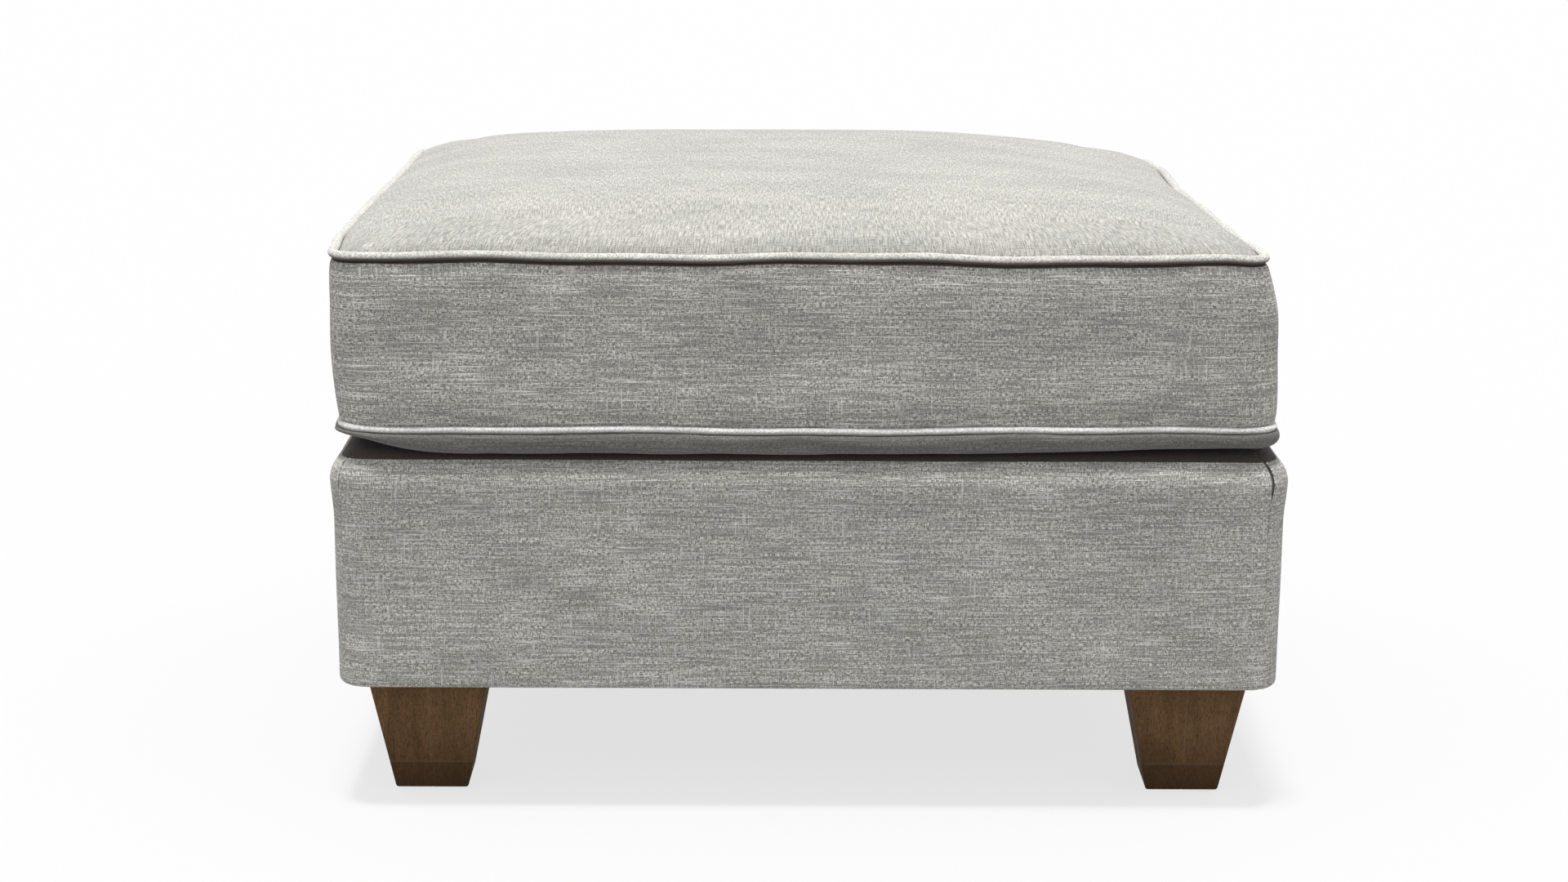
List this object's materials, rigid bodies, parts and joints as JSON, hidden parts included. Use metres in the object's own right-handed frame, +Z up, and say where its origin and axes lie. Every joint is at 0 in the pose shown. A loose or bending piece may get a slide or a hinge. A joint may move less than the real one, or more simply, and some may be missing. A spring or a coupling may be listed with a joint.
{
  "type": "ottoman",
  "caption": "Rectangular upholstered ottoman with a loose, welted, crowned box cushion on a padded sprung base with square tapered wood legs.",
  "frame": {"origin": "on the floor under the middle of the base", "axes": "+X to the right along the width, +Y to the back, +Z up; the front faces -Y"},
  "size_m": [0.762, 0.61, 0.4873],
  "materials": {
    "cover_cloth": "woven, matt",
    "deck_lining": "plain lining cloth",
    "dust_cloth": "thin felted cloth",
    "burlap": "coarse open weave",
    "foam": "open-cell foam",
    "fibre": "bonded fibre",
    "frame_wood": "sawn hardwood",
    "leg_wood": "dark stained, satin",
    "steel": "bright wire and zinc plate",
    "zip_nylon": "woven tape and nylon coil",
    "glide_nylon": "moulded nylon",
    "slider_metal": "dull plated zinc"
  },
  "bodies": {
    "base": {"cover_front": "cover_cloth", "cover_back": "cover_cloth", "cover_left": "cover_cloth", "cover_right": "cover_cloth", "deck_cloth": "deck_lining", "deck_foam": "foam", "spring_cover": "burlap", "edge_roll": "foam", "frame_padding": "fibre", "rail_front": "frame_wood", "rail_back": "frame_wood", "rail_left": "frame_wood", "rail_right": "frame_wood", "corner_block_front_left": "frame_wood", "corner_block_front_right": "frame_wood", "corner_block_back_left": "frame_wood", "corner_block_back_right": "frame_wood", "rail_screws": "steel", "block_screws": "steel", "spring_1": "steel", "spring_2": "steel", "spring_3": "steel", "spring_4": "steel", "spring_5": "steel", "spring_clips": "steel", "clip_nails": "steel", "stay_wires": "steel", "dust_cover": "dust_cloth", "leg_front_left": "leg_wood", "leg_front_right": "leg_wood", "leg_back_left": "leg_wood", "leg_back_right": "leg_wood", "hanger_bolts": "steel", "t_nuts": "steel", "glides": "glide_nylon"},
    "cushion": {"cushion_top_panel": "cover_cloth", "cushion_bottom_panel": "cover_cloth", "cushion_boxing": "cover_cloth", "zip_boxing_upper": "cover_cloth", "zip_boxing_lower": "cover_cloth", "top_welt": "cover_cloth", "bottom_welt": "cover_cloth", "top_welt_cord": "fibre", "bottom_welt_cord": "fibre", "zip_tape": "zip_nylon", "zip_teeth": "zip_nylon", "fibre_wrap_top": "fibre", "fibre_wrap_bottom": "fibre", "foam_core": "foam"},
    "zip_slider": {"zip_slider": "slider_metal"}
  },
  "joints": [
    {"name": "cushion_lift", "type": "slide", "parent": "base", "child": "cushion", "axis": [0, 0, 1], "range_m": [0, 0.25]},
    {"name": "zip_slide", "type": "slide", "parent": "cushion", "child": "zip_slider", "axis": [-1, 0, 0], "range_m": [0, 0.56]}
  ]
}
